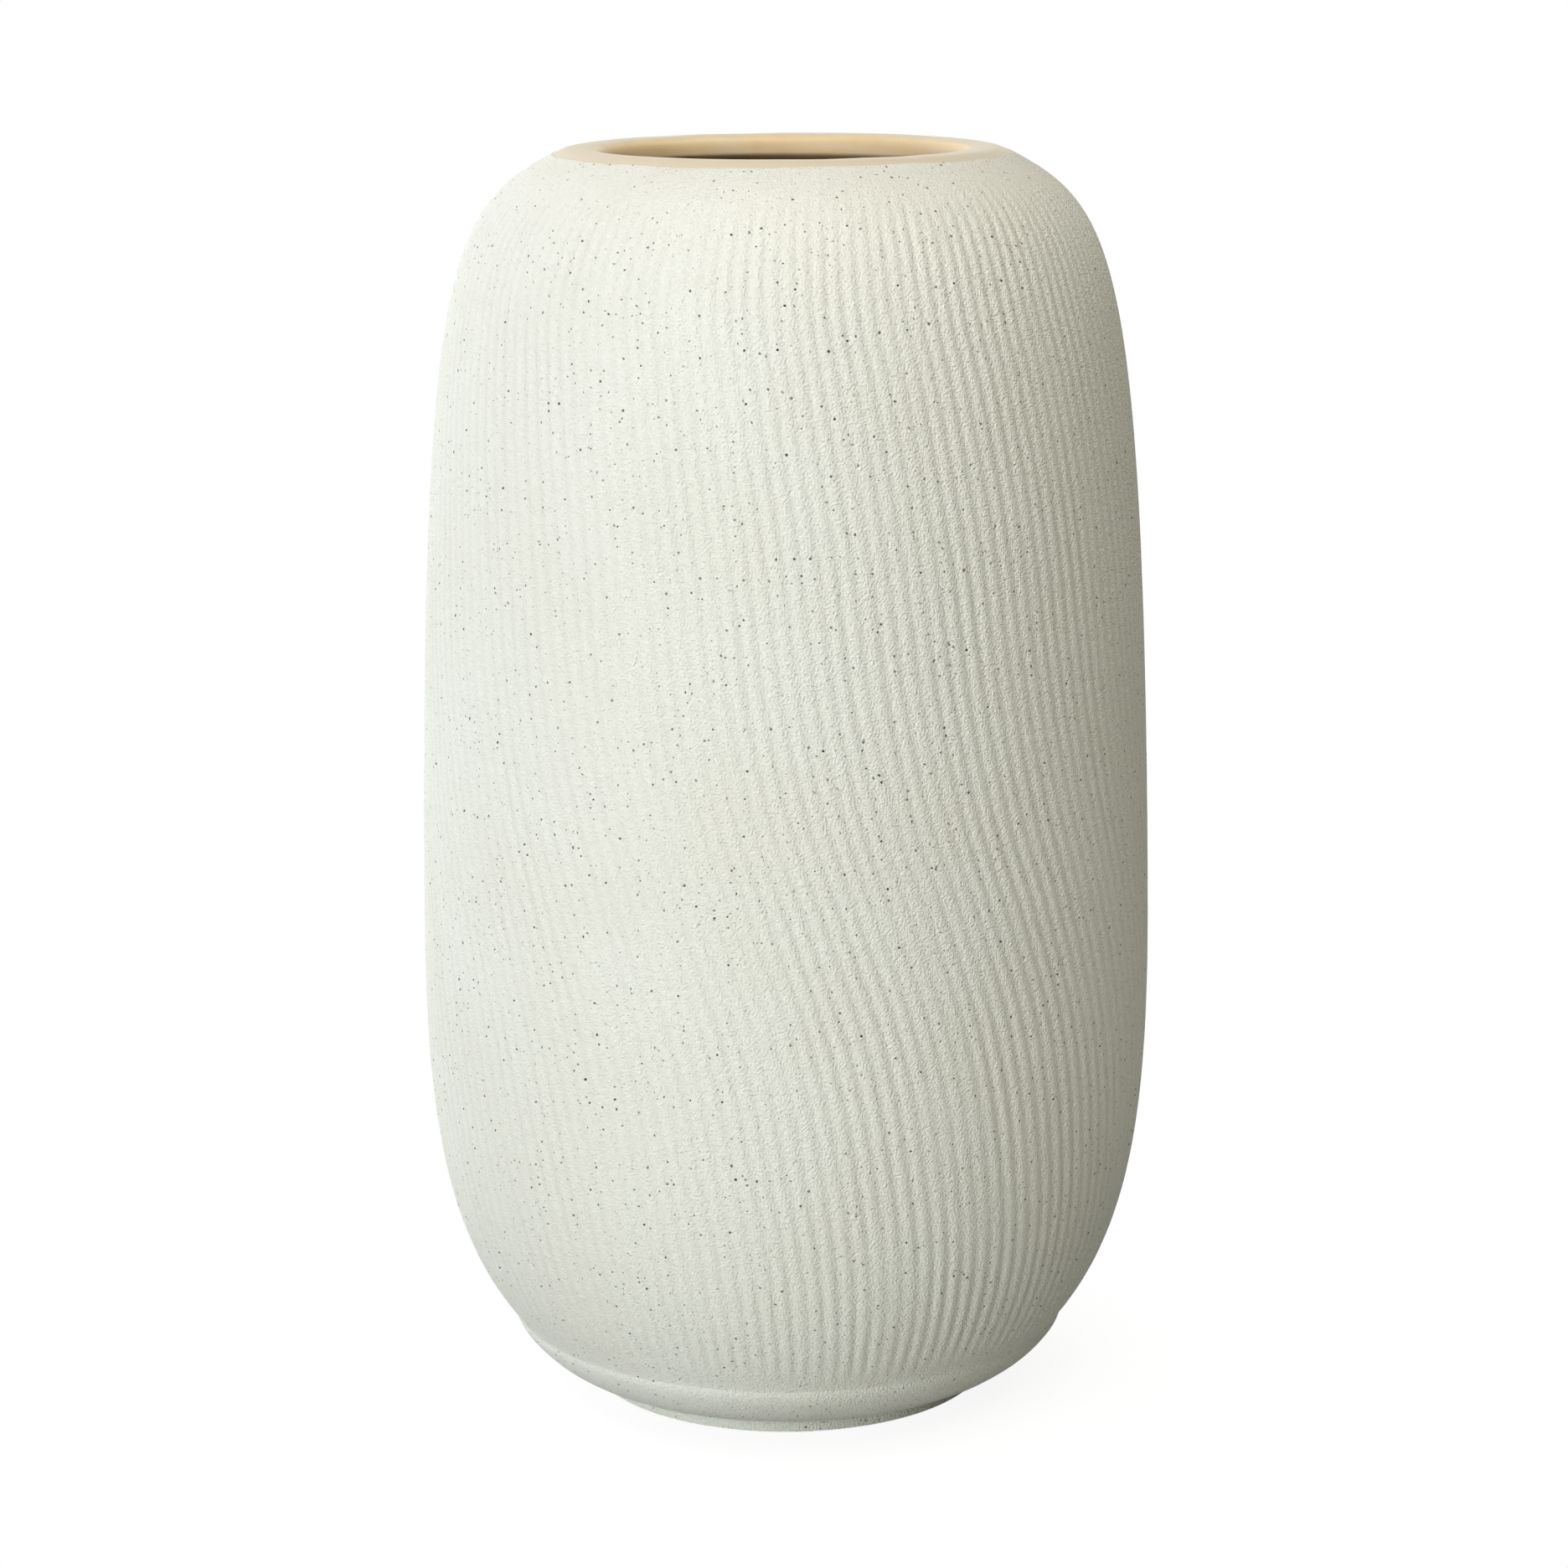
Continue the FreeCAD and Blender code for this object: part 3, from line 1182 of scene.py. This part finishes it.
@dataclass
class InsideGlaze:
    """The tan glaze inside, with the soft spiral that throwing leaves in the wall."""

    outlines: PotOutlines
    finish: bpy.types.Material
    columns: int = 360
    depth: float = 0.42 * MM
    gap: float = 2.0 * MM
    ring_pitch: float = 9.0 * MM
    ring_depth: float = 0.22 * MM
    first_radius: float = 0.6 * MM
    hidden_rows: int = 60
    end_reach: float = 14.0 * MM

    def build(self) -> bpy.types.Object:
        """Builds the glaze as one skin that closes on the axis.

        Returns:
            The inside's glaze, a plain object.
        """
        lines = self.outlines
        floor = np.array((spot(self.first_radius, lines.cove[-1][1]), lines.cove[-1]))
        path = Outline(chain(floor, lines.cove[::-1], lines.inner_bowl, lines.inner_wall))
        shell = Shell("inside_glaze", self.columns)
        for row in spaced(path.length, np.array((self.gap, self.gap))):
            turns = 2 * math.pi * row / self.ring_pitch + shell.angles
            hold = eased(np.array(row), 0.0, self.end_reach)
            hold = hold * (1 - eased(np.array(row), path.length - self.end_reach, path.length))
            rings = self.ring_depth * hold * (0.5 + 0.5 * np.sin(turns))
            shell.add(path.under(np.full(self.columns, row), -rings)[None])
        for row in np.linspace(path.length, 0.0, self.hidden_rows):
            shell.add(path.under(np.array(row), -self.depth)[None], outer=0.0)
        made = shell.build(capped=True)
        made.data.materials.append(self.finish)
        return made


def report(piece: bpy.types.Object, slot: Slot, *nodes: str) -> None:
    """Ties a finished piece to the frame and logs it.

    Args:
        piece: The finished piece.
        slot: Not used.
        nodes: The turned solids that it stands for.
    """
    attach(piece, BODY)
    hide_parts(*nodes)
    LOG.info("%s: %d faces, for %s", piece.name, len(piece.data.polygons), ", ".join(nodes))


# The studio


@dataclass(frozen=True)
class Softbox:
    """A large soft lamp that faces the vase, and may be left out of the glaze's reflections."""

    name: str
    azimuth: float
    elevation: float
    power: float
    colour: tuple[float, float, float]
    distance: float = 1.3
    width: float = 0.9
    mirrored: bool = True

    def place(self, target: Vector) -> None:
        """Hangs the lamp.

        Args:
            target: The point that it faces.
        """
        lamp = bpy.data.lights.new(self.name, "AREA")
        lamp.shape = "SQUARE"
        lamp.size = self.width
        lamp.energy = self.power
        lamp.color = self.colour
        made = bpy.data.objects.new(self.name, lamp)
        turn, rise = math.radians(self.azimuth), math.radians(self.elevation)
        out = Vector(
            (math.sin(turn) * math.cos(rise), -math.cos(turn) * math.cos(rise), math.sin(rise))
        )
        made.location = target + out * self.distance
        made.rotation_euler = (-out).to_track_quat("-Z", "Y").to_euler()
        made.visible_glossy = self.mirrored
        bpy.context.scene.collection.objects.link(made)


@dataclass(frozen=True)
class Studio:
    """The pale floor, the white surround, the lamps and the camera."""

    # The camera's place beside, before and above the foot, in metres
    eye: tuple[float, float, float] = (-0.0003, -0.7838, 0.3011)
    look_down: float = 12.794
    lean: float = -0.314
    lens: float = 91.46
    sensor: float = 36.0
    # The softboxes face this point on the vase's axis
    lit_point: tuple[float, float, float] = (0.0, 0.0, 0.13)
    ambient: tuple[float, float, float, float] = (0.02, 0.02, 0.018, 1)
    floor_reach: float = 6.0
    floor_colour: tuple[float, float, float, float] = (0.42, 0.42, 0.42, 1)
    # How much of the floor's light the camera sees, and how much white is laid over it
    floor_share: float = 0.35
    floor_lift: float = 0.90
    white_from: float = 0.042
    white_by: float = 0.105
    softboxes: tuple[Softbox, ...] = (
        Softbox("key", -35.0, 5.0, 13.3, (0.92, 1.0, 1.05)),
        Softbox("front", -15.0, 5.0, 2.6, (1.0, 0.9, 0.36)),
        Softbox("overhead", -15.0, 60.0, 7.6, (1.08, 1.0, 1.04)),
        Softbox("right", 90.0, 60.0, 5.5, (1.0, 1.0, 0.74)),
        Softbox("back_left", -140.0, 5.0, 23.2, (0.96, 1.0, 0.99), mirrored=False),
    )

    def build(self) -> None:
        """Sets the studio up."""
        self._camera()
        self._surround()
        self._floor()
        for softbox in self.softboxes:
            softbox.place(Vector(self.lit_point))
        bpy.context.scene.view_settings.view_transform = "Standard"

    def _camera(self) -> None:
        """Places the camera where the photograph was taken from."""
        data = bpy.data.cameras.new("camera")
        data.lens = self.lens
        data.sensor_width = self.sensor
        camera = bpy.data.objects.new("camera", data)
        tilt = Matrix.Rotation(math.radians(90 - self.look_down), 4, "X")
        roll = Matrix.Rotation(math.radians(self.lean), 4, "Z")
        camera.matrix_world = Matrix.Translation(self.eye) @ tilt @ roll
        bpy.context.scene.collection.objects.link(camera)
        bpy.context.scene.camera = camera

    def _seen(self, graph: Graph) -> bpy.types.NodeSocket:
        """Tells the rays that show the background.

        Args:
            graph: The material's or the world's graph.

        Returns:
            1 for the camera's, the mirrored and the refracted rays, and 0 for all others.
        """
        rays = graph.node("ShaderNodeLightPath").outputs
        shown = graph.math("MAXIMUM", rays["Is Camera Ray"], rays["Is Glossy Ray"])
        return graph.math("MAXIMUM", shown, rays["Is Transmission Ray"])

    def _surround(self) -> None:
        """Makes the world white to the camera and a plain soft fill to the vase."""
        world = bpy.data.worlds.new("surround")
        world.use_nodes = True
        bpy.context.scene.world = world
        graph = Graph(world.node_tree)
        background = world.node_tree.nodes["Background"]
        white = (1.0, 1.0, 1.0, 1.0)
        colour = graph.mix(self._seen(graph), self.ambient, white)
        graph.feed(background.inputs["Color"], colour)

    def _floor(self) -> None:
        """Lays the pale floor, which keeps a faint shadow near the foot and is white further out."""
        mesh = bpy.data.meshes.new("floor")
        reach = self.floor_reach
        corners = [(-reach, -reach, 0), (reach, -reach, 0), (reach, reach, 0), (-reach, reach, 0)]
        mesh.from_pydata(corners, [], [(0, 1, 2, 3)])
        floor = bpy.data.objects.new("floor", mesh)
        bpy.context.scene.collection.objects.link(floor)
        material, graph, shader = new_material("pale_floor")
        shader.inputs["Base Color"].default_value = self.floor_colour
        shader.inputs["Roughness"].default_value = 0.9
        shader.inputs["Specular IOR Level"].default_value = 0.1
        white = graph.node("ShaderNodeEmission", None, Strength=1.0).outputs[0]
        lift = graph.node("ShaderNodeEmission", None, Strength=self.floor_lift).outputs[0]
        dimmed = graph.node("ShaderNodeMixShader", None, in0=1.0 - self.floor_share)
        graph.feed(dimmed.inputs[1], shader.outputs[0])
        near = graph.node("ShaderNodeAddShader")
        graph.feed(near.inputs[0], dimmed.outputs[0])
        graph.feed(near.inputs[1], lift)
        place = graph.node("ShaderNodeTexCoord").outputs["Object"]
        settings = {"operation": "LENGTH"}
        away = graph.node("ShaderNodeVectorMath", settings, in0=place).outputs["Value"]
        share = graph.ramp(away, self.white_from, self.white_by)
        blend = graph.node("ShaderNodeMixShader", None, in0=share)
        graph.feed(blend.inputs[1], near.outputs[0])
        graph.feed(blend.inputs[2], white)
        chosen = graph.node("ShaderNodeMixShader", None, in0=self._seen(graph))
        graph.feed(chosen.inputs[1], shader.outputs[0])
        graph.feed(chosen.inputs[2], blend.outputs[0])
        output = material.node_tree.nodes["Material Output"]
        graph.feed(output.inputs["Surface"], chosen.outputs[0])
        mesh.materials.append(material)


def dress_clay(finish: bpy.types.Material) -> None:
    """Gives the turned clay solids, which stay as they are, their finish.

    Args:
        finish: The bare clay's material.
    """
    for name in ("stoneware_wall", "stoneware_base", "foot_ring"):
        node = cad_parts[name]
        node.data.materials.clear()
        node.data.materials.append(finish)
        LOG.info("%s: bare %s", name, Slot.CLAY.value)


def main() -> None:
    """Builds the vase round its solids, then the studio."""
    logging.basicConfig(level=logging.INFO, format="%(name)s %(message)s")
    outlines = PotOutlines(PotSizes(), Fullness())
    border = BorderLine()
    slip = SlipFinish("combed_white_slip").material()
    glaze = GlazeFinish("tan_glaze").material()
    # The inside's glaze is the lip's tan glaze darkened to brown: painted shade for the dim inside of
    # the pot
    liner = GlazeFinish(
        "inside_tan_glaze",
        tan=(0.420, 0.240, 0.085, 1),
        pale=(0.500, 0.300, 0.120, 1),
        deep=(0.320, 0.170, 0.055, 1),
        thin_share=0.0,
        roughness=0.5,
        gloss=0.0,
        mirror=0.1,
    ).material()
    report(WallCoat(outlines, border, slip).build(), Slot.SLIP, "fluted_coat")
    report(FootCoat(outlines, slip).build(), Slot.SLIP, "foot_coat")
    report(LipGlaze(outlines, border, glaze).build(), Slot.GLAZE, "rim_glaze")
    report(InsideGlaze(outlines, liner).build(), Slot.GLAZE, "liner_glaze")
    dress_clay(ClayFinish("bare_clay").material())
    Studio().build()


if __name__ == "__main__":
    main()
